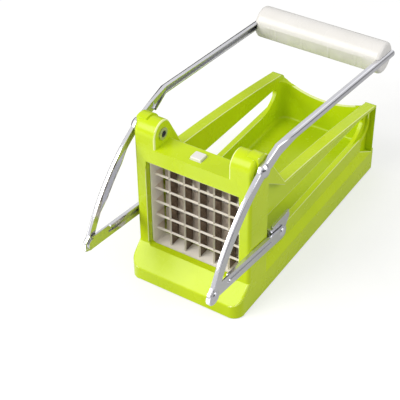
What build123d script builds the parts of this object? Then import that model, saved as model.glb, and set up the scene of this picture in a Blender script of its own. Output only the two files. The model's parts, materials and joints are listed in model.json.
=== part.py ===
"""French fry cutter: a lever press that drives a potato through a square blade grid.

Millimetres, +Z up, X across, +Y from the blade face towards the rear wall.
While modelling, y = 0 is the portal's front face, z = 0 is the table and x = 0 the mid-plane.
The finished assembly is moved along Y so that its origin is the middle of its footprint.
The handle is modelled fully pressed, with the pusher close behind the blades.
"""
from build123d import *
from math import acos, asin, atan2, cos, degrees, hypot, radians, sin, sqrt
import os

os.makedirs("parts", exist_ok=True)

# ---- blade grid -------------------------------------------------------------------------
cells_across = 6
cells_up = 6
cell = 12.8                    # a nominal half inch fry
blade_t = 0.7
blade_depth = 11.5
bevel_depth = 2.0              # ground length of each cutting edge
half_lap_gap = 0.1             # play in the crossed slots
frame_t = 0.8                  # sheet of the blade frame
frame_depth = 15.2
blade_setback = 3.5            # cutting side of the frame to the blades' front edges
frame_corner_r = 2.5
frame_gap = 0.3                # play round the frame in its seat

grid_w = cells_across * cell
grid_h = cells_up * cell
frame_half_w = grid_w / 2 + frame_t

# ---- body moulding ----------------------------------------------------------------------
post_t = 9.2
post_depth = 25.0
crossbar_depth = 19.5
crossbar_h = 12.8
portal_lip = 5.0               # portal face to the front of the blade frame
mouth_flare = 2.5              # how much the head of the mouth opens towards the front
mouth_corner_r = 3.0
sill_z = 25.0
frame_drop = 2.7               # the frame stands this far below the sill, which holds it
foot_proud = 0.8
base_top_z = 20.0
apron_len = 14.5
apron_lip_z = 12.0
body_rear_y = 207.3
plinth_proud = 2.0             # the plinth stands this far behind the rear wall
base_corner_r = 9.0
chamber_floor_r = 3.0
rear_corner_r = 4.0
skin_t = 2.6
floor_z = 24.0
rear_wall_t = 3.0
rear_dip = 10.2                # how far the rear wall's top sinks between its corners
rear_mid_z = 52.0
web_t = 3.0
ledge_w = 5.2
ledge_z = 41.0
ledge_end_y = 188.5
skirt_rise = 7.0
slot_curl_r = 26.0
slot_rear_y = 198.0
ledge_curl_r = 11.0            # the ledge turns up at its rear end to meet the rail
ledge_curl_t = 4.0
ledge_curl_y = 199.0           # front face of the upright part of that curl
slot_head_front_z = 65.0
slot_head_rear_z = 58.0
slot_corner_r = 4.0
rail_t = 3.0
rail_front_y = 49.0
rail_front_z = 89.4
rail_rear_z = 66.3
rail_bow = 1.8
rail_end_r = 7.5
rear_flange_t = 4.0
panel_head_z = 103.0           # top of the recessed side panel behind the post
edge_r = 1.2
post_edge_r = 3.0

throat_half_w = frame_half_w + frame_gap
body_half_w = throat_half_w + post_t
seat_z = sill_z - frame_drop
grid_floor_z = seat_z + frame_gap + frame_t
frame_top_z = grid_floor_z + grid_h + frame_t
seat_top_z = frame_top_z + frame_gap
mouth_top_z = seat_top_z + mouth_flare
crossbar_top_z = mouth_top_z + crossbar_h
frame_front_y = portal_lip
frame_rear_y = frame_front_y + frame_depth
blade_front_y = frame_front_y + blade_setback
web_half_w = throat_half_w + web_t
ledge_half_w = throat_half_w + ledge_w
apron_top_z = sill_z + 1.0

# ---- lever linkage ----------------------------------------------------------------------
pivot_y, pivot_z = 10.6, 125.4             # handle pivot in the ears
toe_dy, toe_dz = -64.8, -64.9              # handle pivot to the toe rivet, pressed
carrier_pin_y, carrier_pin_z = 43.0, 47.0  # where the link meets the carrier, pressed
knee_dy, knee_dz = 28.0, 8.2               # handle pivot to the bend of the arm
grip_dy, grip_dz = 183.8, -6.6             # handle pivot to the grip's axis
handle_travel = 84.0                       # degrees from pressed to fully raised
toe_bow = 8.0                              # bow of the arm between the pivot and the toe
arm_plate_t = 1.6
arm_w = 9.4
neck_w = 10.8                              # width of the arm between pivot and knee
arm_depth = 3.4                            # depth of the channel below the pivot
arm_edge_r = 1.9                           # rounding of the channel's outer edges
arm_blend_r = 6.0                          # blend between a lug and the arm
arm_wall_t = 1.1
arm_pivot_r = 6.3
arm_toe_r = 6.9
arm_outer_x = 54.0
rear_flange_from = 24.0                    # rear flange starts this far from the toe rivet
rear_flange_to = 20.0                      # and stops this far from the pivot
flange_run_out = 12.0                      # over this length it rises to its full height
knee_reach = 9.0                           # length of the blend on either side of the knee
tube_w = 6.0
tube_depth = 5.0
tube_step = 3.2                            # the half-round arm stands this far outside the plate
tube_lift = 1.4                            # and this far above its middle, where it leaves the knee
tube_splay = 4.4                           # at the grip it stands this far outside the plate
tube_tail = 12.0                           # the arm runs on past the grip's axis
link_t = 1.5
link_w = 10.4
link_end_r = 5.3
link_bead_w = 4.2
link_bead_h = 0.9
link_flange_h = 1.2
layer_gap = 0.5                            # side play between arm, link and carrier
rivet_r = 3.0
rivet_head_r = 4.6
rivet_head_h = 1.7
rivet_fit = 0.08                           # radial play of a running rivet
pivot_rivet_r = 3.5
pivot_head_r = 5.4
pivot_head_h = 2.3
pivot_bore_r = 2.6
pivot_flare_r = 4.7
pivot_flare_t = 0.8
washer_r = 4.6

# ---- ears -------------------------------------------------------------------------------
ear_w = 18.0
ear_r = 10.6
boss_r = 11.8
boss_w = 8.6
boss_proud = 1.3
boss_front_gap = 4.0           # the boss starts this far in front of the pivot, behind the flush front
ear_gusset_z = 102.5                       # under-edge of the ear's inner gusset
ear_gusset_y = 35.5                        # and how far back it reaches there

# ---- pusher and carrier -----------------------------------------------------------------
pusher_gap = 0.5
peg_side = 10.6
peg_h = 4.6
peg_taper = 4.0
peg_clear = 0.4                            # pegs to the rear of the blade frame, pressed
pusher_plate_t = 3.4
pusher_rib_t = 2.2
pusher_rib_h = 7.0
strap_t = 1.6
strap_z0, strap_z1 = 44.0, 57.5
strap_bend_r = 2.6
carrier_ear_top_z = 59.0
carrier_ear_rear_y = 60.5
carrier_ear_r = 4.0
carrier_lug_r = 8.0
carrier_lip_w = 2.2
screw_r = 2.0
screw_head_r = 3.6
screw_head_h = 1.8
screw_dx = 26.0

# ---- grip, blade lock and feet ----------------------------------------------------------
grip_r = 13.0
grip_half_l = 56.0
grip_end_r = 3.0
grip_tilt = 15.0                           # the finger hollows face the front and a little down
finger_pitch = 24.0
finger_depth = 1.4
finger_land = 1.0
finger_count = 4
tie_rod_r = 1.6
tie_rod_gap = 0.9
fit_gap = 0.15
lock_w, lock_l = 8.8, 8.4
lock_y = 9.6
lock_proud = 2.0
lock_seat = 2.5
lock_stem_w = 5.0
lock_stem_l = 2.2
lock_gap = 0.2
lock_travel = 6.0
foot_r = 7.0
foot_seat_z = 2.4
foot_peg_r = 2.4
foot_peg_h = 5.0
foot_inset_x = 13.0
foot_front_y = 2.0
foot_rear_inset = 16.0

link_outer_x = arm_outer_x - arm_plate_t - layer_gap
link_inner_x = link_outer_x - link_t
carrier_outer_x = link_inner_x - layer_gap
carrier_inner_x = carrier_outer_x - strap_t
boss_outer_x = body_half_w + boss_proud
neck_depth = arm_outer_x - boss_outer_x - layer_gap

pivot = (pivot_y, pivot_z)
toe = (pivot_y + toe_dy, pivot_z + toe_dz)
knee = (pivot_y + knee_dy, pivot_z + knee_dz)
grip_axis = (pivot_y + grip_dy, pivot_z + grip_dz)
tube_start = Vector(arm_outer_x + tube_step, knee[0], knee[1] + tube_lift)
tube_end = Vector(arm_outer_x + tube_splay, *grip_axis)
tube_way = (tube_end - tube_start).normalized()
carrier_pin = (carrier_pin_y, carrier_pin_z)

toe_r = hypot(toe_dy, toe_dz)
link_len = hypot(carrier_pin_y - toe[0], carrier_pin_z - toe[1])


def toe_at(turn):
    """The toe rivet's place with the handle raised by turn degrees."""
    angle = atan2(toe_dz, toe_dy) + radians(turn)
    return pivot_y + toe_r * cos(angle), pivot_z + toe_r * sin(angle)


def slide_at(turn):
    """How far the carrier has slid back with the handle raised by turn degrees."""
    y, z = toe_at(turn)
    return y + sqrt(link_len ** 2 - (z - carrier_pin_z) ** 2) - carrier_pin_y


def link_turn_at(turn):
    """The link's turn against the handle, in degrees, with the handle raised by turn."""
    y, z = toe_at(turn)
    now = asin((carrier_pin_z - z) / link_len)
    pressed = asin((carrier_pin_z - toe[1]) / link_len)
    return degrees(now - pressed) - turn


link_pressed = degrees(asin((carrier_pin_z - toe[1]) / link_len))
link_sweep = link_turn_at(handle_travel)
link_half_angle = degrees(asin(link_w / 2 / (arm_toe_r - arm_wall_t)))
link_sector_end = 360 + link_pressed + link_sweep - link_half_angle - 4
pegs_y = frame_rear_y + peg_clear
pusher_plate_y = pegs_y + peg_h
strap_y = pusher_plate_y + pusher_plate_t
chamber_rear_y = body_rear_y - rear_wall_t
carrier_ear_y = strap_y + strap_bend_r     # where the carrier's ears begin
lock_stem_y = blade_front_y - lock_stem_l / 2 - lock_gap * 2


# ---- small helpers ----------------------------------------------------------------------
def side_slab(profile, x0, x1):
    """A profile drawn in (y, z), given thickness from x0 to x1."""
    return extrude(Plane.YZ.offset(x0) * profile, amount=x1 - x0)


def side_face(*points):
    return make_face(Polyline(*points, close=True))


def disc(center, radius, x0, x1):
    """A round disc with its axis along X, centred at center = (y, z)."""
    return side_slab(Pos(*center) * Circle(radius), x0, x1)


def block(x0, x1, y0, y1, z0, z1):
    return Pos((x0 + x1) / 2, (y0 + y1) / 2, (z0 + z1) / 2) * Box(x1 - x0, y1 - y0, z1 - z0)


def other_side(part):
    return mirror(part, Plane.YZ)


def both_sides(part):
    return part + other_side(part)


def dome(center, x0, radius, height):
    """A domed rivet head that stands on the plane x0 and points along +X."""
    sphere_r = (radius ** 2 + height ** 2) / (2 * height)
    cap = RadiusArc((x0, radius), (x0 + height, 0), sphere_r)
    half = make_face([cap, Line((x0 + height, 0), (x0, 0)), Line((x0, 0), (x0, radius))])
    return Pos(0, *center) * revolve(half, Axis.X)


# ---- body moulding ----------------------------------------------------------------------
def rail_curve(drop=0.0):
    """Top line of a side wall, from the notch behind the ear to the rear face."""
    return SagittaArc((rail_front_y, rail_front_z - drop), (body_rear_y, rail_rear_z - drop), rail_bow)


def gusset_start():
    """Where the ear's rear slope leaves the ear's round top on its way to the notch."""
    dy, dz = rail_front_y - pivot_y, rail_front_z - pivot_z
    reach = hypot(dy, dz)
    angle = atan2(dz, dy) + acos(ear_r / reach)
    return pivot_y + ear_r * cos(angle), pivot_z + ear_r * sin(angle)


def side_wall_profile():
    """Outline of the side walls behind the portal: gusset slope, rail and rear corner."""
    start = gusset_start()
    low = base_top_z - 1
    face = make_face([
        Line((post_depth - 1, low), (post_depth - 1, start[1] - 12)),
        Line((post_depth - 1, start[1] - 12), start),
        Line(start, (rail_front_y, rail_front_z)),
        rail_curve(),
        Line((body_rear_y, rail_rear_z), (body_rear_y, low)),
        Line((body_rear_y, low), (post_depth - 1, low)),
    ])
    corner = face.vertices().sort_by_distance((body_rear_y, rail_rear_z, 0))[0]
    return fillet(corner, rail_end_r)


def base_block():
    """Plinth with rounded plan corners and the apron that slopes down to the front lip."""
    plinth_rear_y = body_rear_y + plinth_proud
    length = plinth_rear_y + apron_len
    plan = Pos(0, plinth_rear_y - length / 2) * Rectangle(2 * body_half_w, length)
    front = plan.vertices().group_by(Axis.Y)[0]
    plan = fillet(front, base_corner_r)
    rear = plan.vertices().group_by(Axis.Y)[-1]
    plan = fillet(rear, rear_corner_r)
    solid = extrude(Plane.XY.offset(foot_proud) * plan, amount=apron_top_z)
    side = side_face(
        (-apron_len, foot_proud), (-apron_len, apron_lip_z), (0, apron_top_z),
        (post_depth, apron_top_z), (post_depth, base_top_z),
        (plinth_rear_y, base_top_z), (plinth_rear_y, foot_proud),
    )
    solid = solid & side_slab(side, -body_half_w, body_half_w)
    lip = solid.edges().filter_by(lambda e: apron_lip_z - 0.1 <= e.center().Z <= apron_lip_z + 4
                                  and e.center().Y < -base_corner_r / 3)
    return fillet(lip, edge_r * 1.5)


def portal_block():
    """The two posts and the crossbar, with rounded upright edges at the front."""
    solid = block(-body_half_w, body_half_w, 0, post_depth, base_top_z - 1, crossbar_top_z)
    uprights = solid.edges().filter_by(Axis.Z).group_by(Axis.Y)[0]
    solid = fillet(uprights, post_edge_r)
    behind_bar = block(-throat_half_w, throat_half_w, crossbar_depth, post_depth + 1,
                       sill_z, crossbar_top_z + 1)
    return solid - behind_bar


def ears():
    """Rounded ears that carry the handle pivot, with a round boss on their outer side."""
    inner_x = body_half_w - ear_w
    low = crossbar_top_z - edge_r * 3
    dy, dz = ear_gusset_y - pivot_y, ear_gusset_z - pivot_z
    angle = atan2(dz, dy) + acos(ear_r / hypot(dy, dz))
    back = (pivot_y + ear_r * cos(angle), pivot_z + ear_r * sin(angle))
    pillar = side_face((0, low), (0, pivot_z), pivot, back, (ear_gusset_y, ear_gusset_z),
                       (crossbar_depth - 1, ear_gusset_z), (crossbar_depth - 1, low))
    pillar += Pos(*pivot) * Circle(ear_r)
    ear = side_slab(pillar, inner_x, body_half_w)
    rounded = ear.edges().filter_by(lambda e: abs(e.center().X - inner_x) < 0.01
                                    and e.center().Z > crossbar_top_z + 2)
    ear = fillet(rounded, edge_r)
    corner = ear.edges().filter_by(lambda e: e.center().X > body_half_w - 0.01 and e.center().Y < pivot_y
                                   and e.center().Z > low + 0.5)
    ear = fillet(corner, post_edge_r)
    boss = disc(pivot, boss_r, boss_outer_x - boss_w, boss_outer_x)
    boss = chamfer(boss.edges().group_by(Axis.X)[-1], edge_r / 2)
    ear += boss - block(0, 2 * body_half_w, -boss_r, pivot_y - boss_front_gap, 0, 2 * pivot_z)
    ear -= disc(pivot, pivot_rivet_r + rivet_fit, inner_x - 1, boss_outer_x + 1)
    return both_sides(ear)


def chamber_void():
    """The potato chamber: open at the top, with generous radii at the floor and rear."""
    void = block(-throat_half_w, throat_half_w, crossbar_depth, chamber_rear_y, floor_z, 200)
    uprights = void.edges().filter_by(Axis.Z).group_by(Axis.Y)[-1]
    void = fillet(uprights, base_corner_r)
    floor_rear = void.edges().group_by(Axis.Z)[0].filter_by(lambda e: e.center().Y > post_depth + 20)
    void = fillet(floor_rear, chamber_floor_r)
    return void + block(-throat_half_w, throat_half_w, pivot_y, crossbar_depth + 1, crossbar_top_z, 200)


def slot_face():
    """Outline of the long side slot that the carrier runs in."""
    arc_y = slot_rear_y - slot_curl_r
    arc_z = ledge_z + slot_curl_r
    face = make_face([
        Line((post_depth, slot_head_front_z), (post_depth, ledge_z)),
        Line((post_depth, ledge_z), (arc_y, ledge_z)),
        CenterArc((arc_y, arc_z), slot_curl_r, -90, 90),
        Line((slot_rear_y, arc_z), (post_depth, arc_z)),
        Line((post_depth, arc_z), (post_depth, slot_head_front_z)),
    ])
    head = side_face((post_depth - 1, slot_head_front_z), (slot_rear_y + 1, slot_head_rear_z),
                     (slot_rear_y + 1, arc_z + 1), (post_depth - 1, arc_z + 1))
    face = face - head
    rear_top = face.vertices().sort_by(Axis.X)[-1]
    return fillet(rear_top, slot_corner_r)


def side_recess():
    """What is cut away outside a side wall: it leaves rail, slot rim, ledge and skirt."""
    field_top = make_face([
        Line((post_depth, base_top_z), (post_depth, panel_head_z)),
        Line((post_depth, panel_head_z), (rail_front_y, rail_front_z - rail_t)),
        rail_curve(rail_t),
        Line((body_rear_y, rail_rear_z - rail_t), (body_rear_y, base_top_z)),
        Line((body_rear_y, base_top_z), (post_depth, base_top_z)),
    ])
    keep_rear = side_face((body_rear_y - rear_flange_t, 0), (body_rear_y + 1, 0),
                          (body_rear_y + 1, 200), (body_rear_y - rear_flange_t, 200))
    field = field_top - keep_rear
    ramp = side_face((ledge_end_y, base_top_z - 1), (ledge_end_y, base_top_z + skirt_rise),
                     (body_rear_y - rear_flange_t, base_top_z), (body_rear_y, base_top_z - 1))
    lower_wall = side_face((post_depth - 1, base_top_z - 1), (ledge_end_y, base_top_z - 1),
                           (ledge_end_y, ledge_z), (post_depth - 1, ledge_z))
    outer = side_slab(field, ledge_half_w, body_half_w + 1)
    skirt = extrude(
        Plane.XZ.offset(-post_depth) * make_face(Polyline(
            (ledge_half_w - 0.01, base_top_z - 1), (body_half_w, base_top_z - 1), (body_half_w, base_top_z),
            (ledge_half_w, base_top_z + skirt_rise), (ledge_half_w - 0.01, base_top_z + skirt_rise),
            close=True)),
        amount=-(body_rear_y - post_depth))
    outer -= skirt & side_slab(lower_wall + ramp, 0, body_half_w + 1)
    inner = side_slab(field - lower_wall - ramp - ledge_curl(), web_half_w, ledge_half_w)
    return outer + inner


def ledge_curl():
    """Side outline of the ledge's rear end, which turns up in an arc towards the rail."""
    half = ledge_curl_t / 2
    arc_r = ledge_curl_r + half
    arc_y = ledge_curl_y - ledge_curl_r
    low = Line((ledge_end_y - ledge_curl_r - 2, ledge_z - half), (arc_y, ledge_z - half))
    bend = CenterArc((arc_y, ledge_z - half + arc_r), arc_r, -90, 90)
    rise = Line(bend @ 1, ((bend @ 1).X, rail_front_z))
    return trace(low + bend + rise, line_width=ledge_curl_t)


def mouth_and_seat():
    """The portal's opening, flared at its head, and the seat of the blade frame behind it."""
    mouth_h = seat_top_z - sill_z
    mouth = RectangleRounded(2 * throat_half_w, mouth_h, mouth_corner_r)
    cut = extrude(Plane.XZ.offset(1) * Pos(0, sill_z + mouth_h / 2) * mouth, amount=-(portal_lip + 2))
    flare = side_face((-1, seat_top_z - mouth_corner_r), (-1, mouth_top_z + mouth_flare / portal_lip),
                      (portal_lip, seat_top_z), (portal_lip, seat_top_z - mouth_corner_r))
    cut += side_slab(flare, -throat_half_w + 0.4, throat_half_w - 0.4)
    seat_h = seat_top_z - seat_z
    seat = RectangleRounded(2 * throat_half_w, seat_h, frame_corner_r + frame_gap)
    cut += extrude(Plane.XZ.offset(-portal_lip) * Pos(0, seat_z + seat_h / 2) * seat,
                   amount=-(frame_depth + frame_gap))
    cut += block(-throat_half_w, throat_half_w, frame_rear_y, crossbar_depth + 10, floor_z, seat_top_z)
    return cut


def underside():
    """The hollow under the floor, crossed by stiffening ribs."""
    wide = block(-body_half_w + skin_t, body_half_w - skin_t, 1, body_rear_y - skin_t,
                 0, base_top_z - skin_t)
    front = side_slab(side_face((-apron_len + skin_t, 0), (-apron_len + skin_t, apron_lip_z - skin_t),
                                (1, base_top_z - skin_t), (1, 0)),
                      -body_half_w + base_corner_r, body_half_w - base_corner_r)
    hollow = wide + front
    rib_t = skin_t * 0.75
    rib_pitch = (body_rear_y - post_depth) / 5
    for i in range(5):
        y = post_depth + rib_pitch * i
        hollow -= block(-body_half_w, body_half_w, y, y + rib_t, base_top_z - skin_t - 9, base_top_z)
    hollow -= block(-rib_t / 2, rib_t / 2, -apron_len, body_rear_y, base_top_z - skin_t - 9, base_top_z)
    for x, y in foot_places():
        hollow -= Pos(x, y, foot_seat_z + 20) * Cylinder(foot_r + 1.6, 40)
    return hollow


def foot_places():
    x = body_half_w - foot_inset_x
    return [(sx * x, y) for sx in (-1, 1) for y in (foot_front_y, body_rear_y - foot_rear_inset)]


def foot_sockets():
    cut = Part()
    for x, y in foot_places():
        cut += Pos(x, y, foot_seat_z / 2) * Cylinder(foot_r + fit_gap, foot_seat_z)
        cut += Pos(x, y, (foot_seat_z + foot_peg_h) / 2) * Cylinder(foot_peg_r + fit_gap / 2, foot_seat_z + foot_peg_h)
    return cut


def lock_bore():
    """Recess and hole in the crossbar for the blade lock."""
    recess = block(-lock_w / 2 - lock_gap, lock_w / 2 + lock_gap,
                   lock_y - lock_l / 2 - lock_gap, lock_y + lock_l / 2 + lock_gap,
                   crossbar_top_z - lock_seat, crossbar_top_z + 1)
    return recess + block(-lock_stem_w / 2 - lock_gap, lock_stem_w / 2 + lock_gap,
                          lock_stem_y - lock_stem_l / 2 - lock_gap,
                          lock_stem_y + lock_stem_l / 2 + lock_gap, seat_top_z - 1, crossbar_top_z)


def rear_scoop():
    """Cylinder that hollows the top edge of the rear wall between its two corners."""
    scoop_r = (throat_half_w ** 2 + rear_dip ** 2) / (2 * rear_dip)
    round_cut = extrude(Plane.XZ.offset(-(chamber_rear_y - base_corner_r)) * Pos(0, rear_mid_z + scoop_r)
                        * Circle(scoop_r), amount=-(rear_wall_t + base_corner_r + 1))
    return round_cut & block(-throat_half_w, throat_half_w, 0, 2 * body_rear_y, 0, rail_front_z)


def rear_rounded_bar():
    """The body's full outline in plan, with its rounded rear corners."""
    plan = Pos(0, body_rear_y / 2) * Rectangle(2 * body_half_w, body_rear_y)
    plan = fillet(plan.vertices().group_by(Axis.Y)[-1], rear_corner_r)
    return extrude(plan, amount=2 * pivot_z)


def make_housing():
    body = base_block() + portal_block()
    walls = side_slab(side_wall_profile(), -body_half_w, body_half_w)
    body += walls & rear_rounded_bar()
    body -= chamber_void()
    body += ears()
    body -= both_sides(side_recess())
    body -= side_slab(slot_face(), -body_half_w - 1, body_half_w + 1)
    body -= mouth_and_seat()
    body -= underside()
    body -= foot_sockets()
    body -= lock_bore()
    body -= rear_scoop()
    return body



# ---- blade cassette ---------------------------------------------------------------------
def make_cassette_frame():
    """Folded steel frame with a slot at each blade's end and a hole for the lock stem."""
    height = grid_h + 2 * frame_t
    outer = RectangleRounded(2 * frame_half_w, height, frame_corner_r)
    inner = RectangleRounded(grid_w, grid_h, frame_corner_r - frame_t)
    center = Pos(0, grid_floor_z + grid_h / 2)
    frame = extrude(Plane.XZ.offset(-frame_front_y) * (center * (outer - inner)), amount=-frame_depth)
    frame -= block(-lock_stem_w / 2 - lock_gap, lock_stem_w / 2 + lock_gap,
                   lock_stem_y - lock_stem_l / 2 - lock_gap, lock_stem_y + lock_stem_l / 2 + lock_gap,
                   frame_top_z - frame_t - 1, frame_top_z + 1)
    return frame


def blade(length):
    """A ground steel strip, flat in XZ, from x = 0 to length, its edge facing -Y."""
    profile = Polyline((blade_front_y, 0), (blade_front_y + bevel_depth, blade_t / 2),
                       (blade_front_y + blade_depth, blade_t / 2), (blade_front_y + blade_depth, -blade_t / 2),
                       (blade_front_y + bevel_depth, -blade_t / 2), close=True)
    return side_slab(make_face(profile), 0, length)


def make_horizontal_blades():
    """Strips slotted from the rear to their middle, so that the upright ones drop in."""
    mid_y = blade_front_y + blade_depth / 2
    group = Part()
    for row in range(1, cells_up):
        strip = Pos(-grid_w / 2, 0, grid_floor_z + row * cell) * blade(grid_w)
        for column in range(1, cells_across):
            x = -grid_w / 2 + column * cell
            half_slot = blade_t / 2 + half_lap_gap / 2
            strip -= block(x - half_slot, x + half_slot, mid_y, blade_front_y + blade_depth + 1,
                           grid_floor_z + row * cell - 1, grid_floor_z + row * cell + 1)
        group += strip
    return group


def make_vertical_blades():
    """Strips slotted from the front to their middle, the other half of each half-lap."""
    mid_y = blade_front_y + blade_depth / 2 + half_lap_gap
    group = Part()
    for column in range(1, cells_across):
        x = -grid_w / 2 + column * cell
        strip = Pos(x, 0, grid_floor_z) * Rot(0, -90, 0) * blade(grid_h)
        for row in range(1, cells_up):
            z = grid_floor_z + row * cell
            half_slot = blade_t / 2 + half_lap_gap / 2
            strip -= block(x - 1, x + 1, blade_front_y - 1, mid_y, z - half_slot, z + half_slot)
        group += strip
    return group


def make_blade_lock():
    """White tab on the crossbar whose stem drops through the frame's top."""
    tab = block(-lock_w / 2, lock_w / 2, lock_y - lock_l / 2, lock_y + lock_l / 2,
                crossbar_top_z - lock_seat, crossbar_top_z + lock_proud)
    tab = fillet(tab.edges().filter_by(Axis.Z), 0.8)
    tab = fillet(tab.edges().group_by(Axis.Z)[-1], 0.5)
    tip_z = frame_top_z - frame_t
    stem = block(-lock_stem_w / 2, lock_stem_w / 2, lock_stem_y - lock_stem_l / 2,
                 lock_stem_y + lock_stem_l / 2, tip_z, crossbar_top_z - lock_seat)
    return tab + stem


# ---- pusher -----------------------------------------------------------------------------
def make_pusher_block():
    """Plate with one tapered peg behind each cell and a ribbed back."""
    half_w = throat_half_w - pusher_gap
    low, high = floor_z + pusher_gap, frame_top_z - frame_t
    plate = block(-half_w, half_w, pusher_plate_y, strap_y, low, high)
    plate = fillet(plate.edges().filter_by(Axis.Y), chamber_floor_r)
    peg_face = Rectangle(peg_side, peg_side)
    for column in range(cells_across):
        for row in range(cells_up):
            x = -grid_w / 2 + (column + 0.5) * cell
            z = grid_floor_z + (row + 0.5) * cell
            seat = Plane.XZ.offset(-pusher_plate_y) * Pos(x, z) * peg_face
            plate += extrude(seat, amount=peg_h, taper=peg_taper)
    rib_gap = 2.0
    for z0, z1 in ((low, strap_z0 - rib_gap), (strap_z1 + rib_gap, high)):
        for x in (-2, -1, 0, 1, 2):
            center = x * cell * 1.25
            plate += block(center - pusher_rib_t / 2, center + pusher_rib_t / 2, strap_y,
                           strap_y + pusher_rib_h, z0 + 1, z1 - 1)
    for z in (low + 3, strap_z0 - rib_gap - 1, strap_z1 + rib_gap + 1, high - 3):
        plate += block(-cell * 2.5, cell * 2.5, strap_y, strap_y + pusher_rib_h, z - 1, z + 1)
    for x, z in screw_places():
        plate -= Plane.XZ.offset(-strap_y) * Pos(x, z) * Cylinder(screw_r - 0.2, 2 * pusher_plate_t)
    return plate


def screw_places():
    return [(x, (strap_z0 + strap_z1) / 2) for x in (-screw_dx, -screw_dx / 3, screw_dx / 3, screw_dx)]


def strap_run(x, y):
    """One side of the strap in plan: across behind the pusher, then rearward at both ends."""
    return [(-x, carrier_ear_y + 2), (-x, y), (x, y), (x, carrier_ear_y + 2)]


def make_pusher_carrier():
    """Steel yoke: a strap behind the pusher whose ends leave by the slots and turn rearward."""
    plan = make_face(Polyline(*strap_run(carrier_outer_x, strap_y),
                              *reversed(strap_run(carrier_inner_x, strap_y + strap_t)), close=True))
    outer_bends = plan.vertices().group_by(Axis.Y)[0]
    plan = fillet(outer_bends, strap_bend_r)
    inner_bends = plan.vertices().filter_by(lambda v: abs(v.Y - strap_y - strap_t) < 0.01)
    plan = fillet(inner_bends, strap_bend_r - strap_t)
    yoke = extrude(Plane.XY.offset(strap_z0) * plan, amount=strap_z1 - strap_z0)
    outline = side_face((carrier_ear_y, strap_z0), (carrier_ear_y, carrier_ear_top_z),
                        (carrier_ear_rear_y, carrier_ear_top_z), (carrier_pin_y + carrier_lug_r, carrier_pin_z),
                        (carrier_pin_y, carrier_pin_z), (carrier_pin_y, strap_z0))
    rear_top = outline.vertices().sort_by(Axis.X)[-1]
    outline = fillet(rear_top, carrier_ear_r)
    outline += Pos(*carrier_pin) * Circle(carrier_lug_r)
    ear = side_slab(outline, carrier_inner_x, carrier_outer_x)
    ear += block(carrier_outer_x - carrier_lip_w, carrier_outer_x - strap_t / 2, carrier_ear_y + 1,
                 carrier_ear_rear_y - carrier_ear_r, carrier_ear_top_z - strap_t, carrier_ear_top_z)
    ear -= disc(carrier_pin, rivet_r + rivet_fit, carrier_inner_x - 1, carrier_outer_x + 1)
    yoke += both_sides(ear)
    for x, z in screw_places():
        yoke -= Plane.XZ.offset(-strap_y) * Pos(x, z) * Cylinder(screw_r + fit_gap, 3 * strap_t)
    return yoke


def make_pusher_screws():
    """Pan-head screws that hold the strap against the pusher."""
    group = Part()
    for x, z in screw_places():
        head = Plane.XZ.offset(-(strap_y + strap_t)) * Pos(x, z) * Pos(0, 0, -screw_head_h / 2) * Cylinder(
            screw_head_r, screw_head_h)
        shank_l = strap_t + pusher_plate_t * 0.8
        shank = Plane.XZ.offset(-(strap_y + strap_t)) * Pos(x, z) * Pos(0, 0, shank_l / 2) * Cylinder(
            screw_r - 0.2, shank_l)
        head = fillet(head.edges().group_by(Axis.Y)[-1], 0.8)
        slot = Plane.XZ.offset(-(strap_y + strap_t + screw_head_h)) * Pos(x, z) * Box(screw_head_r * 1.6, 0.8, 1.4)
        cross = Plane.XZ.offset(-(strap_y + strap_t + screw_head_h)) * Pos(x, z) * Box(0.8, screw_head_r * 1.6, 1.4)
        group += head + shank - slot - cross
    return group


# ---- handle -----------------------------------------------------------------------------
def toe_arc():
    return SagittaArc(pivot, toe, -toe_bow)


def toward(start, angle, length):
    """The point length away from start, in the side view, at an angle above +Y."""
    return start[0] + length * cos(radians(angle)), start[1] + length * sin(radians(angle))


def arm_outline():
    """Side outline of the stamped arm from the toe lug past the pivot to the knee."""
    outline = trace(toe_arc(), line_width=arm_w) + trace(Line(pivot, knee), line_width=neck_w)
    outline += Pos(*pivot) * Circle(arm_pivot_r) + Pos(*toe) * Circle(arm_toe_r)
    grown = offset(outline, arm_blend_r, kind=Kind.ARC)
    return offset(grown, -arm_blend_r, kind=Kind.ARC)


def flange_gaps(inset):
    """Where the arm has no flange: behind the toe, for the link, and round the pivot."""
    arc = toe_arc()
    start = arc @ ((rear_flange_to + inset) / arc.length)
    stop = arc @ (1 - (rear_flange_from + inset) / arc.length)
    deep = 3 * arm_toe_r
    behind_toe = side_face(toe, toward(toe, link_sector_end, deep), toward(toe, link_sector_end + 60, 2 * deep),
                           toward((stop.X, stop.Y), -45, deep), (stop.X, stop.Y))
    behind_pivot = side_face((start.X, start.Y), toward((start.X, start.Y), -45, deep),
                             toward(knee, -45, deep), knee, pivot)
    return behind_toe, behind_pivot


def arm_stamping():
    """Lower arm and neck: a dished plate whose flange runs round its front and its toe."""
    inner_x = arm_outer_x - arm_depth
    outline = arm_outline()
    shell = side_slab(outline, inner_x, arm_outer_x)
    rim = shell.edges().filter_by(lambda e: abs(e.center().X - arm_outer_x) < 0.01
                                  and abs(e.bounding_box().size.X) < 0.01)
    shell = fillet(rim, arm_edge_r)
    shell -= side_slab(offset(outline, -arm_wall_t, kind=Kind.ARC), inner_x - 1, arm_outer_x - arm_plate_t)
    for low, high in zip(flange_gaps(0), flange_gaps(flange_run_out)):
        shell -= loft([Plane.YZ.offset(arm_outer_x - arm_plate_t) * low, Plane.YZ.offset(inner_x) * high], ruled=True)
    return shell - disc(pivot, boss_r + layer_gap, inner_x - 1, boss_outer_x + layer_gap)


def channel_section(width, depth, corner_r):
    """Section of a channel whose back lies at x = 0, with its two outer corners rounded."""
    section = Pos(-depth / 2, 0) * Rectangle(depth, width)
    return fillet(section.vertices().group_by(Axis.X)[-1], corner_r)


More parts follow.
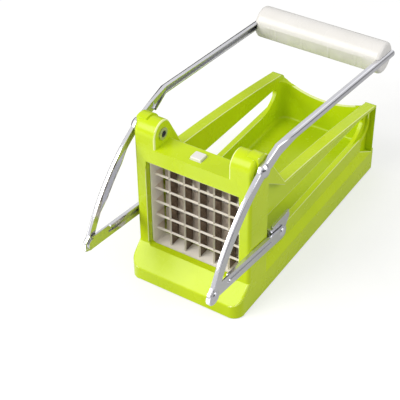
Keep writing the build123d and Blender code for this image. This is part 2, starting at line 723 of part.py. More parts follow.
def arm_upper():
    """The knee's blend and the half-round upper arm that spreads out towards the grip."""
    at_knee = Vector(arm_outer_x, *knee)
    neck_way = (at_knee - Vector(arm_outer_x, *pivot)).normalized()
    tail = (tube_end - tube_start).length + tube_tail
    low = Plane(origin=at_knee - neck_way * knee_reach, x_dir=(1, 0, 0), z_dir=neck_way)
    high = Plane(origin=tube_start + tube_way * knee_reach, x_dir=(1, 0, 0), z_dir=tube_way)
    solids = []
    for inset, plate in ((0, 0), (arm_wall_t, arm_plate_t)):
        neck = channel_section(neck_w - 2 * inset, neck_depth - plate, arm_edge_r * (1 - inset / 2))
        tube = channel_section(tube_w - 2 * inset, tube_depth - inset, tube_w / 2 - inset - 0.3)
        neck = Pos(-plate, 0) * neck
        tube = Pos(-inset, 0) * tube
        run = extrude(high * tube, amount=tail - knee_reach - inset)
        solids.append((loft([low * neck, high * tube], ruled=True), run))
    (blend, run), (blend_void, run_void) = solids
    return (blend + run) - run_void - blend_void


def make_arm():
    """One stamped arm, right-hand side."""
    arm = arm_stamping()
    at_knee = Vector(arm_outer_x, *knee)
    neck_way = (at_knee - Vector(arm_outer_x, *pivot)).normalized()
    past = Plane(origin=at_knee - neck_way * knee_reach, x_dir=(1, 0, 0), z_dir=neck_way)
    arm -= extrude(past * Rectangle(60, 60), amount=60)
    arm += arm_upper()
    arm -= disc(pivot, pivot_rivet_r + 0.02, arm_outer_x - 3, arm_outer_x + 1)
    arm -= disc(toe, rivet_r + 0.02, arm_outer_x - 3, arm_outer_x + 1)
    return arm


def make_pivot_rivet():
    """Tubular rivet: domed head outside the arm, rolled rim at the ear's inner face."""
    inner_x = body_half_w - ear_w
    rivet = disc(pivot, pivot_rivet_r, inner_x - 0.3, arm_outer_x)
    rivet += disc(pivot, pivot_flare_r, inner_x - 0.3 - pivot_flare_t, inner_x - 0.3)
    rivet += dome(pivot, arm_outer_x, pivot_head_r, pivot_head_h)
    return rivet - disc(pivot, pivot_bore_r, inner_x - 3, inner_x + ear_w * 0.6)


def make_pivot_washer():
    """Plain washer that spaces the arm off the ear's boss."""
    ring = disc(pivot, washer_r, boss_outer_x + fit_gap, arm_outer_x - arm_plate_t)
    return ring - disc(pivot, pivot_rivet_r + rivet_fit, boss_outer_x - 1, arm_outer_x)


def make_toe_rivet():
    """Rivet through the arm's toe and the link, headed on both sides."""
    rivet = disc(toe, rivet_r, link_inner_x - 0.2, arm_outer_x)
    rivet += dome(toe, arm_outer_x, rivet_head_r, rivet_head_h)
    return rivet + disc(toe, rivet_head_r - 0.6, link_inner_x - 0.8, link_inner_x - 0.2)


def make_link():
    """Flat connecting link with an embossed bead, from the toe to the carrier."""
    line = Line(toe, carrier_pin)
    outline = trace(line, line_width=link_w)
    outline += Pos(*toe) * Circle(link_end_r) + Pos(*carrier_pin) * Circle(link_end_r)
    link = side_slab(outline, link_inner_x, link_outer_x)
    bead_line = line.trim(0.22, 0.8)
    bead = bead_outline(bead_line, link_bead_w)
    raised = side_slab(bead, link_outer_x, link_outer_x + link_bead_h)
    top = raised.edges().filter_by(lambda e: abs(e.center().X - link_outer_x - link_bead_h) < 0.01)
    raised = chamfer(top, link_bead_h * 0.7)
    link += raised
    link -= side_slab(bead_outline(bead_line, link_bead_w - 1.6), link_inner_x - 1, link_inner_x + link_bead_h)
    lift = (link_w - link_t) / 2
    rise = toward((0, 0), link_pressed + 90, lift)
    edge = Line((bead_line @ 0) + Vector(*rise), (bead_line @ 1) + Vector(*rise))
    link += side_slab(trace(edge, line_width=link_t), link_inner_x - link_flange_h, link_inner_x)
    link -= disc(toe, rivet_r + rivet_fit, link_inner_x - 1, link_outer_x + 1)
    link -= disc(carrier_pin, rivet_r + 0.02, link_inner_x - 1, link_outer_x + 1)
    return link


def bead_outline(line, width):
    ends = Pos(line @ 0) * Circle(width / 2) + Pos(line @ 1) * Circle(width / 2)
    return trace(line, line_width=width) + ends


def make_carrier_rivet():
    """Rivet in the link's rear end. Its shank stops short of the carrier's ear."""
    rivet = disc(carrier_pin, rivet_r, link_inner_x - layer_gap * 0.4, link_outer_x)
    return rivet + dome(carrier_pin, link_outer_x, rivet_head_r, rivet_head_h)


def make_grip():
    """Moulded grip with finger hollows underneath and grooves for the arms at its ends."""
    body = Cylinder(grip_r, 2 * grip_half_l, rotation=(0, 90, 0))
    body = fillet(body.edges(), grip_end_r)
    half_w = finger_pitch / 2 - finger_land
    finger_r = (half_w ** 2 + finger_depth ** 2) / (2 * finger_depth)
    for i in range(finger_count):
        x = (i - (finger_count - 1) / 2) * finger_pitch
        body -= Pos(x, finger_depth - grip_r - finger_r, 0) * Cylinder(finger_r, 4 * grip_r)
    return Pos(0, *grip_axis) * Rot(grip_tilt, 0, 0) * body - grip_voids()


def grip_voids():
    """The tie rod's bore and the groove that each arm's end lies in."""
    bore = disc(grip_axis, tie_rod_r + fit_gap, -grip_half_l - 1, grip_half_l + 1)
    plane = Plane(origin=tube_end - tube_way * 40, x_dir=(1, 0, 0), z_dir=tube_way)
    groove = extrude(plane * Pos(10 - tube_depth - fit_gap, 0) * Rectangle(20, tube_w + 2 * fit_gap), amount=80)
    return bore + both_sides(groove)


def make_tie_rod():
    """Steel rod through the grip, seated in the backs of both arms."""
    reach = arm_outer_x + tube_splay - arm_wall_t - tie_rod_gap
    return disc(grip_axis, tie_rod_r, -reach, reach)


# ---- feet -------------------------------------------------------------------------------
def make_rubber_feet():
    """Four rubber feet whose pegs press into bosses under the base."""
    group = Part()
    for x, y in foot_places():
        pad = Pos(x, y, foot_seat_z / 2) * Cylinder(foot_r, foot_seat_z)
        pad = fillet(pad.edges().group_by(Axis.Z)[0], 0.6)
        group += pad + Pos(x, y, foot_seat_z + foot_peg_h / 2 - 0.2) * Cylinder(foot_peg_r, foot_peg_h - 0.4)
    return group


# ---- assembly ---------------------------------------------------------------------------
arm_right = make_arm()
link_right = make_link()
nodes = {
    "housing": make_housing(),
    "cassette_frame": make_cassette_frame(),
    "horizontal_blades": make_horizontal_blades(),
    "vertical_blades": make_vertical_blades(),
    "blade_lock": make_blade_lock(),
    "pusher_block": make_pusher_block(),
    "pusher_carrier": make_pusher_carrier(),
    "pusher_screws": make_pusher_screws(),
    "arm_right": arm_right,
    "arm_left": other_side(arm_right),
    "grip": make_grip(),
    "grip_tie_rod": make_tie_rod(),
    "link_right": link_right,
    "link_left": other_side(link_right),
    "rubber_feet": make_rubber_feet(),
}
for name, make in (("pivot_rivet", make_pivot_rivet), ("pivot_washer", make_pivot_washer),
                   ("toe_rivet", make_toe_rivet), ("carrier_rivet", make_carrier_rivet)):
    nodes[name + "_right"] = make()
    nodes[name + "_left"] = other_side(nodes[name + "_right"])

box = Compound(children=[Part() + part for part in nodes.values()]).bounding_box()
shift_y = -(box.min.Y + box.max.Y) / 2
for name, part in nodes.items():
    export_step(Pos(0, shift_y, 0) * part, f"parts/{name}.step")

print(f"shift_y {shift_y:.6f}")
print(f"size {box.size.X:.3f} {box.size.Y:.3f} {box.size.Z:.3f} low {box.min.Z:.3f}")
print(f"pivot {pivot} toe {toe} carrier_pin {carrier_pin}")
print(f"carrier slides {slide_at(handle_travel):.4f} mm, link turns {link_turn_at(handle_travel):.4f} deg")
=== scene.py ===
import json
from math import cos, radians, sin

import bmesh
import bpy
from mathutils import Matrix, Vector
from mathutils.bvhtree import BVHTree


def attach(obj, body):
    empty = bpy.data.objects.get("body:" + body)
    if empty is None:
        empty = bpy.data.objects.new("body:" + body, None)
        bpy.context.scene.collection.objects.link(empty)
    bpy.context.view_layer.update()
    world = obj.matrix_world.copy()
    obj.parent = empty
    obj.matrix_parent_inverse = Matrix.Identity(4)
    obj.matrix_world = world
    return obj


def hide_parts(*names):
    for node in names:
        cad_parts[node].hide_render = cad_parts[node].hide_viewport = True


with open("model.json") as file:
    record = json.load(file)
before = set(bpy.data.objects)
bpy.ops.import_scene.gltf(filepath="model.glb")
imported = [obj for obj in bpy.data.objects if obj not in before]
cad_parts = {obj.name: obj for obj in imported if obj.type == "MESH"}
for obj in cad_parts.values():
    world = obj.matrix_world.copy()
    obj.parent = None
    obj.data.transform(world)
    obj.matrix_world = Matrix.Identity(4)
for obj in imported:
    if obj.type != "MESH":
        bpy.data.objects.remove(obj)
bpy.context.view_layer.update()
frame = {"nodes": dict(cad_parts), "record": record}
mm = 0.001
bodies = frame["record"]["behaviour"]["bodies"]
bodyOf = {node: body for body, members in bodies.items() for node in members}
print("frame loaded:", len(bodyOf), "nodes")


def linearColour(hexValue):
    # sRGB hex to the linear colour that a shader takes
    channels = [int(hexValue[i:i + 2], 16) / 255 for i in (1, 3, 5)]
    linear = (c / 12.92 if c <= 0.04045 else ((c + 0.055) / 1.055) ** 2.4 for c in channels)
    return tuple(linear) + (1.0,)


def addNode(tree, kind, settings=None, links=None):
    # settings fill inputs or properties by name, links join inputs to other nodes' outputs
    node = tree.nodes.new(kind)
    for name, value in (settings or {}).items():
        if isinstance(name, int) or name in node.inputs:
            node.inputs[name].default_value = value
        else:
            setattr(node, name, value)
    for name, output in (links or {}).items():
        tree.links.new(output, node.inputs[name])
    return node


def perMillimetre(size):
    # the scale of a pattern on Object coordinates whose features are this many millimetres across
    return 1 / (size * mm)


def newMaterial(name):
    material = bpy.data.materials.new(name)
    material.use_nodes = True
    tree = material.node_tree
    tree.nodes.clear()
    output = addNode(tree, "ShaderNodeOutputMaterial")
    place = addNode(tree, "ShaderNodeTexCoord")
    return material, tree, output, place.outputs["Object"]


noiseMiddle = {"From Min": 0.32, "From Max": 0.68}      # nearly all of a noise's values lie in here
toneStops = (0.35, 0.65)                                # where a noise's value has reached either tone


def pattern(tree, place, size, stretch=(1, 1, 1), turn=(0, 0, 0), detail=2.0):
    # a noise with features of this size in millimetres, drawn out by stretch along its turned axes
    mapping = addNode(tree, "ShaderNodeMapping", {"Rotation": turn, "Scale": stretch},
                      {"Vector": place})
    noise = addNode(tree, "ShaderNodeTexNoise", {"Scale": perMillimetre(size), "Detail": detail},
                    {"Vector": mapping.outputs["Vector"]})
    return noise.outputs["Fac"]


def mottledTone(tree, place, patch, tones):
    # a colour that drifts between two tones in patches of this many millimetres
    ramp = addNode(tree, "ShaderNodeValToRGB", links={"Fac": pattern(tree, place, patch)})
    for element, stop, tone in zip(ramp.color_ramp.elements, toneStops, tones):
        element.position = stop
        element.color = linearColour(tone)
    return ramp.outputs["Color"]


def glossFrom(tree, noise, roughness, shine, normal):
    # the shader of a solid surface: roughness wanders over its range as the noise does
    low, high = roughness
    rough = addNode(tree, "ShaderNodeMapRange", {**noiseMiddle, "To Min": low, "To Max": high},
                    {"Value": noise})
    return addNode(tree, "ShaderNodeBsdfPrincipled", shine,
                   {"Roughness": rough.outputs["Result"], "Normal": normal.outputs["Normal"]})


def mouldedPlastic(name, look):
    # injection-moulded ABS: an even pigment, a gloss from the polished mould, and the faint ripple of
    # shrinkage; a painted highlight lightens its thin rolled edges
    material, tree, output, place = newMaterial(name)
    pigment = mottledTone(tree, place, look["pigmentPatch"], (look["deep"], look["colour"]))
    rolled = addNode(tree, "ShaderNodeAttribute", {"attribute_name": "paintedEdgeHighlight"})
    # painted highlight: the marked edge strips are mixed towards a lighter colour
    edgeHighlightShare = addNode(tree, "ShaderNodeMath", {"operation": "MULTIPLY", 1: look["edgeHighlightShare"]},
                        {0: rolled.outputs["Fac"]})
    tone = addNode(tree, "ShaderNodeMix", {"data_type": "RGBA", 7: linearColour(look["edgeHighlightColour"])},
                   {"Factor": edgeHighlightShare.outputs[0], 6: pigment})
    ripple = addNode(tree, "ShaderNodeBump",
                     {"Strength": look["rippleStrength"], "Distance": look["rippleDepth"] * mm},
                     {"Height": pattern(tree, place, look["ripple"])})
    grain = addNode(tree, "ShaderNodeBump",
                    {"Strength": look["grainStrength"], "Distance": look["grainDepth"] * mm},
                    {"Height": pattern(tree, place, look["grain"], detail=3.0),
                     "Normal": ripple.outputs["Normal"]})
    shader = glossFrom(tree, pattern(tree, place, look["glossPatch"], detail=4.0), look["roughness"],
                       {"IOR": 1.53, "Specular IOR Level": look["sheen"]}, grain)
    tree.links.new(tone.outputs[2], shader.inputs["Base Color"])
    tree.links.new(shader.outputs["BSDF"], output.inputs["Surface"])
    return material


limeLook = dict(
    colour="#C6DC16", deep="#BFD710",       # pigment and its slight drift along the flow
    pigmentPatch=45.0,                      # mm, slow drift of the pigment
    roughness=(0.22, 0.30), glossPatch=16.0,
    ripple=22.0, rippleDepth=0.25, rippleStrength=0.25,
    grain=0.7, grainDepth=0.012, grainStrength=0.35,   # spark-eroded, coarser than real so it shows
    sheen=0.22,                             # the spark-eroded face mirrors less than polished ABS
    edgeHighlightColour="#F0F8B0", edgeHighlightShare=0.85,   # painted highlight along the thin rolled edges
)
whiteLook = dict(                           # a finer mould: a little shinier than the lime body
    colour="#E2E0DD", deep="#DDDBD7", pigmentPatch=30.0,
    roughness=(0.24, 0.33), glossPatch=11.0,
    ripple=16.0, rippleDepth=0.22, rippleStrength=0.3,
    grain=0.6, grainDepth=0.010, grainStrength=0.3,
    sheen=0.4,
    # painted highlight along the thin rolled edges
    edgeHighlightColour="#F8F8F6", edgeHighlightShare=0.5,
)


def workedSteel(name, look):
    # steel whose finish is drawn out along the way it was rolled, ground or polished
    material, tree, output, place = newMaterial(name)
    tone = mottledTone(tree, place, look["tonePatch"], (look["deep"], look["colour"]))
    lines = pattern(tree, place, look["lineWidth"], look["lineStretch"], look["lineTurn"], detail=3.0)
    ripple = addNode(tree, "ShaderNodeBump",
                     {"Strength": look["rippleStrength"], "Distance": look["rippleDepth"] * mm},
                     {"Height": pattern(tree, place, look["ripple"])})
    scratch = addNode(tree, "ShaderNodeBump",
                      {"Strength": look["lineStrength"], "Distance": look["lineDepth"] * mm},
                      {"Height": lines, "Normal": ripple.outputs["Normal"]})
    shader = glossFrom(tree, lines, look["roughness"], {"Metallic": look["metallic"]}, scratch)
    tree.links.new(tone, shader.inputs["Base Color"])
    tree.links.new(shader.outputs["BSDF"], output.inputs["Surface"])
    return material


chromeLook = dict(                          # chromed over a light brush: grey with white lines
    metallic=0.85,                          # the rest scatters in the fine lines of the brush
    colour="#D2D2D7", deep="#CACACF", tonePatch=40.0,
    lineWidth=0.5, lineStretch=(1, 0.06, 1), lineTurn=(0, 0, 0),
    lineStrength=0.15, lineDepth=0.01,
    roughness=(0.09, 0.15), ripple=12.0, rippleDepth=0.08, rippleStrength=0.3,
)
stripLook = dict(                           # a mirror that doubles the pegs behind the grid
    metallic=1.0,                           # strip polished before the cutting edge is ground
    colour="#F2EAE0", deep="#E8DFD4", tonePatch=20.0,
    lineWidth=0.35, lineStretch=(1, 0.05, 1), lineTurn=(0, 0, 0),
    lineStrength=0.3, lineDepth=0.02,
    roughness=(0.12, 0.20), ripple=9.0, rippleDepth=0.04, rippleStrength=0.2,
)
uprightShadedLook = dict(stripLook, colour="#8A7C6E", deep="#7E7061")     # painted shade: a darker, warmer copy of the level strip for the uprights
groundHighlightLook = dict(                          # painted highlight: the ground slopes of the grid's front in near white
    metallic=0.15,                          # barely metallic, so the painted white shows as a highlight
    colour="#FBF6EE", deep="#F2ECE2", tonePatch=12.0,
    lineWidth=0.15, lineStretch=(1, 0.1, 1), lineTurn=(0, 0, 0),
    lineStrength=0.3, lineDepth=0.01,
    roughness=(0.30, 0.42), ripple=6.0, rippleDepth=0.02, rippleStrength=0.2,
)
litSheetLook = dict(                           # the folded frame: painted light, paler and more matt than stainless sheet so it reads as lit inside the portal
    metallic=0.05,                          # so matt that hardly anything mirrors
    colour="#FCF7EE", deep="#F5EFE4", tonePatch=24.0,
    lineWidth=0.4, lineStretch=(1, 0.05, 1), lineTurn=(0, 0, 0),
    lineStrength=0.3, lineDepth=0.02,
    roughness=(0.36, 0.46), ripple=10.0, rippleDepth=0.05, rippleStrength=0.2,
)


def mouldedRubber(name, look):
    # pressed rubber: matt, with a bloom that greys it in patches
    material, tree, output, place = newMaterial(name)
    tone = mottledTone(tree, place, look["bloomPatch"], (look["colour"], look["bloom"]))
    grain = addNode(tree, "ShaderNodeBump",
                    {"Strength": look["grainStrength"], "Distance": look["grainDepth"] * mm},
                    {"Height": pattern(tree, place, look["grain"])})
    shader = glossFrom(tree, pattern(tree, place, look["bloomPatch"], detail=4.0), look["roughness"],
                       {"IOR": 1.52}, grain)
    tree.links.new(tone, shader.inputs["Base Color"])
    tree.links.new(shader.outputs["BSDF"], output.inputs["Surface"])
    return material


rubberLook = dict(
    colour="#2A2B2A", bloom="#3A3B3A", bloomPatch=3.0,
    roughness=(0.62, 0.78), grain=0.5, grainDepth=0.03, grainStrength=0.5,
)

limeAbs = mouldedPlastic("limeAbsMoulded", limeLook)
whiteAbs = mouldedPlastic("whiteAbsMoulded", whiteLook)
chromedSteel = workedSteel("chromedSteelPolished", chromeLook)
levelSteel = workedSteel("stainlessStripPolished", stripLook)
uprightShadedSteel = workedSteel("stainlessStripPaintedShade", uprightShadedLook)
groundHighlightSteel = workedSteel("stainlessEdgeGroundHighlight", groundHighlightLook)
# painted light: the sheet steel is lightened to read as lit inside the portal; the pivot washers share it
sheetSteel = workedSteel("stainlessSheetPaintedLight", litSheetLook)
footRubber = mouldedRubber("blackRubberPressed", rubberLook)
print("materials made")


roundings = dict(
    weld=0.002,                             # mm, vertices closer than this are one
    room=4,                                 # a face beside a bevelled edge is wider than this many radii
    flat=0.015, bend=0.05,                  # radians: up to flat is one patch, from bend on it turns
    width=1.1, radius=1.3,                  # mm: the widest strip to mark for the painted edge highlight, and the widest tight curve
    outwardPart=3, inwardPart=5,            # at least a third of its border turns outward, at most a fifth in
    leastBorder=0.001,                      # mm, so that a patch without a border has a width
)


def findPatches(bm):
    # the flat patches of a triangle mesh: faces, border edges and mean width of each
    patches, seen = [], set()
    for first in bm.faces:
        if first in seen:
            continue
        seen.add(first)
        faces, waiting, border = [], [first], []
        while waiting:
            face = waiting.pop()
            faces.append(face)
            for edge in face.edges:
                if edge.calc_face_angle(1) > roundings["flat"]:
                    border.append(edge)
                    continue
                fresh = [other for other in edge.link_faces if other not in seen]
                seen.update(fresh)
                waiting.extend(fresh)
        around = max(sum(edge.calc_length() for edge in border), roundings["leastBorder"] * mm)
        patches.append((faces, border, 2 * sum(face.calc_area() for face in faces) / around))
    return patches


def markEdgeHighlights(bm, bevelled):
    # marks the narrow strips that turn an outer edge for a painted highlight, and leaves flat faces and inner
    # corners
    paintedEdgeHighlight = bm.faces.layers.float.new("paintedEdgeHighlight")
    bevelled = set(bevelled)
    for faces, border, width in findPatches(bm):
        bends = [(edge.calc_face_angle_signed(0), edge.calc_length()) for edge in border]
        around = sum(length for bend, length in bends)
        turning = sum(length for bend, length in bends if bend > roundings["bend"])
        inward = sum(length for bend, length in bends if bend < -roundings["bend"])
        if (width > roundings["width"] * mm or turning < around / roundings["outwardPart"]
                or inward > around / roundings["inwardPart"]):
            continue
        longestBend = max(bends, key=lambda pair: pair[1])[0]
        if width < longestBend * roundings["radius"] * mm or faces[0] in bevelled:
            for face in faces:
                face[paintedEdgeHighlight] = 1.0


def roundedCopy(node, look):
    # a merged copy of the node with its sharp outer edges bevelled, where the faces beside them are
    # wide enough, and its narrow outer strips marked for the painted edge highlight
    radius = look["edge"] * mm
    sharpFrom = radians(look["sharpFrom"])
    bm = bmesh.new()
    bm.from_mesh(frame["nodes"][node].data)
    bmesh.ops.remove_doubles(bm, verts=bm.verts, dist=roundings["weld"] * mm)
    surface = BVHTree.FromBMesh(bm)
    widthOf = {face: width for faces, border, width in findPatches(bm) for face in faces}
    sharp = [edge for edge in bm.edges if edge.is_manifold
             and edge.calc_face_angle_signed(0) > sharpFrom
             and min(widthOf[face] for face in edge.link_faces) > roundings["room"] * radius]
    rolled = bmesh.ops.bevel(bm, geom=sharp, offset=radius, offset_type="OFFSET", affect="EDGES",
                             segments=2, profile=0.5, material=-1)["faces"]
    for vert in bm.verts:                   # a mitre that overran a narrow face comes back to the surface
        nearest, normal, index, distance = surface.find_nearest(vert.co)
        if distance > radius / 2:
            vert.co = nearest
    markEdgeHighlights(bm, rolled)
    for face in bm.faces:
        face.smooth = True
    for edge in bm.edges:
        edge.smooth = edge.calc_face_angle(0) < sharpFrom
    return bm


def placePiece(bm, name, node, material):
    mesh = bpy.data.meshes.new(name)
    bm.to_mesh(mesh)
    bm.free()
    mesh.materials.append(material)
    piece = bpy.data.objects.new(name, mesh)
    bpy.context.scene.collection.objects.link(piece)
    even = piece.modifiers.new("evenNormals", "WEIGHTED_NORMAL")
    even.keep_sharp = True
    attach(piece, bodyOf[node])
    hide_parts(node)
    return piece


plasticEdge = dict(edge=0.45, sharpFrom=15)                    # mm and degrees
stampedEdge = dict(edge=0.2, sharpFrom=24)
dressed = {
    "housing": ("bodyMoulding", "lime_abs", limeAbs, plasticEdge),
    "blade_lock": ("bladeLockTab", "white_abs", whiteAbs, plasticEdge),
    "pusher_block": ("pusherMoulding", "white_abs", whiteAbs, dict(edge=0.35, sharpFrom=32)),
    "grip": ("gripMoulding", "white_abs", whiteAbs, dict(edge=0.4, sharpFrom=32)),
    "arm_right": ("armRight", "polished_stainless", chromedSteel, stampedEdge),
    "arm_left": ("armLeft", "polished_stainless", chromedSteel, stampedEdge),
    "link_right": ("linkRight", "polished_stainless", chromedSteel, stampedEdge),
    "link_left": ("linkLeft", "polished_stainless", chromedSteel, stampedEdge),
    "pusher_carrier": ("pusherYoke", "polished_stainless", chromedSteel, stampedEdge),
    "cassette_frame": ("cassetteFrame", "stainless_sheet", sheetSteel, dict(edge=0.15, sharpFrom=38)),
}
for node, (name, slot, material, edgeLook) in dressed.items():
    placePiece(roundedCopy(node, edgeLook), name, node, material)
    print("piece made:", name)

blades = {
    "vertical_blades": ("uprightBlades", uprightShadedSteel),
    "horizontal_blades": ("levelBlades", levelSteel),
}
groundHighlightFrom = -0.1                           # the cutting edge's two slopes face the front by more; they get the painted highlight
for node, (name, material) in blades.items():
    bm = bmesh.new()
    bm.from_mesh(frame["nodes"][node].data)
    for face in bm.faces:
        face.material_index = int(face.normal.y < groundHighlightFrom)
    piece = placePiece(bm, name, node, material)
    piece.data.materials.append(groundHighlightSteel)
    print("piece made:", name)

kept = {
    "rubber_feet": footRubber,
    "pusher_screws": chromedSteel, "grip_tie_rod": chromedSteel,
    "pivot_rivet_right": chromedSteel, "pivot_rivet_left": chromedSteel,
    "pivot_washer_right": sheetSteel, "pivot_washer_left": sheetSteel,
    "toe_rivet_right": chromedSteel, "toe_rivet_left": chromedSteel,
    "carrier_rivet_right": chromedSteel, "carrier_rivet_left": chromedSteel,
}
for node, material in kept.items():
    for materialSlot in frame["nodes"][node].material_slots:
        materialSlot.material = material
print("kept nodes finished:", len(kept))

studio = dict(
    floorSize=6.0, floorTones=("#AEAEAE", "#B2B2B2"),
    floorFibre=60.0,                        # mm
    floorLift=0.585,                        # what the paper adds to the eye, up to white
    shineWay=(-0.5, -0.86, 0.0),            # towards the front left
    shineFrom=0.06, shineTo=0.17,           # m, along that way
    shineLow=0.16, shineHigh=2.6,           # painted reflection: what gloss and polished metal see in the paper, dim near the object in place of its shadow
    ambient=0.52, ambientColour="#FFFFFF",
    seen=1.0, seenColour="#FFFFFF",         # the backdrop as the eye meets it
    keyPlace=(-0.62, -1.12, 1.04), keyAim=(0.0, 0.02, 0.05), keySize=1.0,
    keyPower=22.5, keyColour="#FFFCF8", keyGloss=1.0,
    fillPlace=(1.3, 0.5, 0.9), fillAim=(0.0, 0.05, 0.05), fillSize=1.0,
    fillPower=8.5, fillColour="#FFFFFF", fillGloss=0.0,
)
velvet = dict(tones=("#0A0A0A", "#101010"), patch=80.0)          # mm
cards = dict(
    rearLeftFlag=dict(way=(-0.66, 0.72, 0.16), away=1.3, width=0.80, height=0.56, lying=False, glow=0.0),
    rearFlag=dict(way=(-0.06, 0.80, 0.57), away=1.3, width=0.40, height=0.36, lying=False, glow=1.5),
    rearRightFlag=dict(way=(0.60, 0.78, 0.26), away=1.3, width=0.60, height=0.50, lying=False, glow=0.25),
    rightFlag=dict(way=(0.95, -0.22, 0.22), away=1.2, width=0.9, height=0.36, lying=False, glow=0.0),
    behindFlag=dict(way=(-0.807, 0.591, 0.001), away=0.694, width=1.0, height=1.1, lying=True, glow=0.0),
)


def raysThatSee(tree):
    # camera rays, and the glossy and transmitted rays that carry what they meet to the eye
    path = addNode(tree, "ShaderNodeLightPath")
    carried = addNode(tree, "ShaderNodeMath", {"operation": "MAXIMUM"},
                      {0: path.outputs["Is Glossy Ray"], 1: path.outputs["Is Transmission Ray"]})
    return path.outputs["Is Camera Ray"], carried.outputs[0]


def gridObject(name, width, height, matrix):
    # one flat rectangle, in metres
    bm = bmesh.new()
    bmesh.ops.create_grid(bm, x_segments=1, y_segments=1, size=0.5)
    bmesh.ops.scale(bm, vec=(width, height, 1), verts=bm.verts)
    bmesh.ops.transform(bm, matrix=matrix, verts=bm.verts)
    mesh = bpy.data.meshes.new(name)
    bm.to_mesh(mesh)
    bm.free()
    flat = bpy.data.objects.new(name, mesh)
    bpy.context.scene.collection.objects.link(flat)
    return flat


def glowingMatt(name, tones, patch):
    # a matt surface with a glow of its own, whose strength the caller sets or links
    material, tree, output, place = newMaterial(name)
    matt = addNode(tree, "ShaderNodeBsdfDiffuse", links={"Color": mottledTone(tree, place, patch, tones)})
    glow = addNode(tree, "ShaderNodeEmission")
    both = addNode(tree, "ShaderNodeAddShader", links={0: matt.outputs[0], 1: glow.outputs[0]})
    tree.links.new(both.outputs[0], output.inputs["Surface"])
    material.cycles.emission_sampling = "NONE"
    return material, tree, place, glow.inputs["Strength"]


def makeFloor():
    # matt photographer's paper, lit from the front left: no gloss, only a slight unevenness of its fibre;
    # for gloss and polished metal it glows with a painted reflection, dim near the object and towards the
    # rear right in place of the shadow there, and brighter than white towards the front left
    floor = gridObject("studioFloor", studio["floorSize"], studio["floorSize"], Matrix())
    material, tree, place, strength = glowingMatt("seamlessPaperMatt", studio["floorTones"],
                                               studio["floorFibre"])
    camera, carried = raysThatSee(tree)
    # painted reflection: glossy and transmitted rays see the paper's glow grow from the rear right to the
    # front left
    along = addNode(tree, "ShaderNodeVectorMath", {"operation": "DOT_PRODUCT", 1: studio["shineWay"]},
                    {0: place})
    shine = addNode(tree, "ShaderNodeMapRange",
                    {"From Min": studio["shineFrom"], "From Max": studio["shineTo"],
                     "To Min": studio["shineLow"], "To Max": studio["shineHigh"],
                     "interpolation_type": "SMOOTHSTEP"},
                    {"Value": along.outputs["Value"]})
    carriedShine = addNode(tree, "ShaderNodeMath", {"operation": "MULTIPLY"},
                           {0: carried, 1: shine.outputs["Result"]})
    lift = addNode(tree, "ShaderNodeMath", {"operation": "MULTIPLY_ADD", 1: studio["floorLift"]},
                   {0: camera, 2: carriedShine.outputs[0]})
    tree.links.new(lift.outputs[0], strength)
    floor.data.materials.append(material)


def makeCard(name, card):
    # a card that only polished metal and gloss see: black velvet, or cloth lit from behind, it draws
    # the lines that give them their shape
    way = Vector(card["way"]).normalized()
    turn = Matrix() if card["lying"] else way.to_track_quat("Z", "Y").to_matrix().to_4x4()
    flat = gridObject(name, card["width"], card["height"], Matrix.Translation(way * card["away"]) @ turn)
    material, tree, place, strength = glowingMatt(name + "Cloth", velvet["tones"], velvet["patch"])
    strength.default_value = card["glow"]
    flat.data.materials.append(material)
    flat.visible_camera = False
    flat.visible_diffuse = False
    flat.visible_shadow = False
    flat.visible_transmission = False


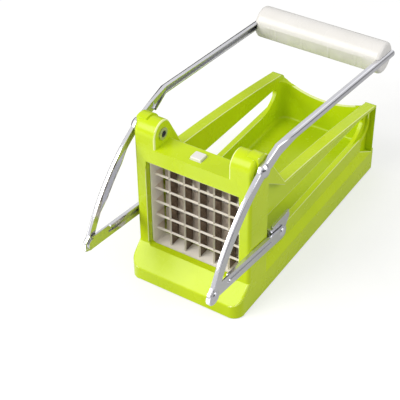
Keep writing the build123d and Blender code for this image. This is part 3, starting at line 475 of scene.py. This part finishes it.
def makeWorld():
    world = bpy.data.worlds.new("studioWorld")
    bpy.context.scene.world = world
    world.use_nodes = True
    tree = world.node_tree
    tree.nodes.clear()
    output = addNode(tree, "ShaderNodeOutputWorld")
    camera, carried = raysThatSee(tree)
    eye = addNode(tree, "ShaderNodeMath", {"operation": "MAXIMUM"}, {0: camera, 1: carried})
    soft = addNode(tree, "ShaderNodeBackground", {"Color": linearColour(studio["ambientColour"]),
                                                  "Strength": studio["ambient"]})
    white = addNode(tree, "ShaderNodeBackground", {"Color": linearColour(studio["seenColour"]),
                                                   "Strength": studio["seen"]})
    mixed = addNode(tree, "ShaderNodeMixShader",
                    links={0: eye.outputs[0], 1: soft.outputs[0], 2: white.outputs[0]})
    tree.links.new(mixed.outputs[0], output.inputs["Surface"])


def makeLamp(name, part):
    lamp = bpy.data.lights.new(name, "AREA")
    lamp.shape = "SQUARE"
    lamp.color = linearColour(studio[part + "Colour"])[:3]
    lamp.size = studio[part + "Size"]
    lamp.energy = studio[part + "Power"]
    lamp.specular_factor = studio[part + "Gloss"]
    place, aim = Vector(studio[part + "Place"]), Vector(studio[part + "Aim"])
    lampObject = bpy.data.objects.new(name, lamp)
    lampObject.location = place
    lampObject.rotation_euler = (aim - place).to_track_quat("-Z", "Y").to_euler()
    bpy.context.scene.collection.objects.link(lampObject)


makeFloor()
makeWorld()
makeLamp("keySoftbox", "key")
makeLamp("fillSoftbox", "fill")
for cardName, card in cards.items():
    makeCard(cardName, card)
print("studio lit")

view = dict(
    azimuth=32.84, elevation=38.90, roll=-0.56,       # degrees, azimuth from the front to the right side
    place=(0.3547, -0.6093, 0.6018),                  # m
    focal=103.869, sensor=36.0,                       # mm
    shiftX=-0.00625, shiftY=0.00325,
    nearest=0.02,                                     # m
)


def makeCamera():
    azimuth, elevation, roll = (radians(view[key]) for key in ("azimuth", "elevation", "roll"))
    back = Vector((sin(azimuth) * cos(elevation), -cos(azimuth) * cos(elevation), sin(elevation)))
    right = Vector((0, 0, 1)).cross(back).normalized()
    up = back.cross(right)
    turned = Matrix((right * cos(roll) + up * sin(roll), up * cos(roll) - right * sin(roll), back))
    lens = bpy.data.cameras.new("studioCamera")
    lens.sensor_width = view["sensor"]
    lens.lens = view["focal"]
    lens.shift_x = view["shiftX"]
    lens.shift_y = view["shiftY"]
    lens.clip_start = view["nearest"]
    camera = bpy.data.objects.new("studioCamera", lens)
    camera.matrix_world = Matrix.Translation(view["place"]) @ turned.transposed().to_4x4()
    bpy.context.scene.collection.objects.link(camera)
    bpy.context.scene.camera = camera


makeCamera()
bpy.context.scene.view_settings.view_transform = "Standard"
print("camera set")
